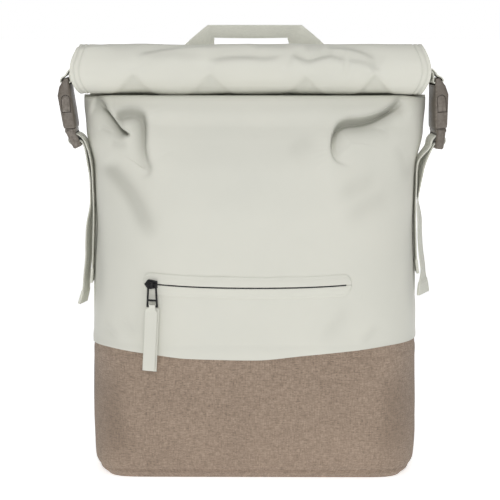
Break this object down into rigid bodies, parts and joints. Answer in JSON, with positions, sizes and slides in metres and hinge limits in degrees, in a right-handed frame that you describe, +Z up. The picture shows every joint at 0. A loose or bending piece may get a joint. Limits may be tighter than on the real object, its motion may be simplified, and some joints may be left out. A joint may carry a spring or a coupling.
{
  "type": "rolltop backpack",
  "caption": "Upright rolltop backpack in pale coated cloth with a woven base, side buckles, a front zip pocket, a grab handle and padded shoulder straps.",
  "frame": {"origin": "middle of the flat underside of the base, below the side seams", "axes": "+Z up, the front with the zip faces -Y, +X is to the right of someone looking at the front"},
  "size_m": [0.3798, 0.1803, 0.4427],
  "materials": {
    "coated_cloth": "smooth matt coated cloth, pale sage grey",
    "woven_cloth": "coarse plain weave, taupe",
    "webbing": "flat woven webbing, pale sage grey",
    "moulded_plastic": "fine matt moulded plastic, taupe",
    "black_metal": "satin black"
  },
  "bodies": {
    "bag": {"front_panel": "coated_cloth", "back_panel": "coated_cloth", "rolled_top": "coated_cloth", "pocket_welt": "coated_cloth", "shoulder_strap_left": "coated_cloth", "shoulder_strap_right": "coated_cloth", "base_cup": "woven_cloth", "grab_handle": "webbing", "mouth_web_left": "webbing", "mouth_web_right": "webbing", "side_strap_left": "webbing", "side_strap_right": "webbing", "strap_web_left": "webbing", "strap_web_right": "webbing", "strap_loop_left": "webbing", "strap_loop_right": "webbing", "buckle_socket_left": "moulded_plastic", "buckle_socket_right": "moulded_plastic", "buckle_plug_left": "moulded_plastic", "buckle_plug_right": "moulded_plastic", "adjuster_left": "moulded_plastic", "adjuster_right": "moulded_plastic", "zip_chain": "black_metal", "zip_slider": "black_metal"},
    "pull": {"pull_frame": "black_metal", "pull_tab": "coated_cloth"}
  },
  "joints": [
    {"name": "pull_swing", "type": "hinge", "parent": "bag", "child": "pull", "pos_m": [-0.09694, -0.0799, 0.20092], "axis": [-0.9702, 0.2424, 0], "range_deg": [-3, 150]}
  ]
}
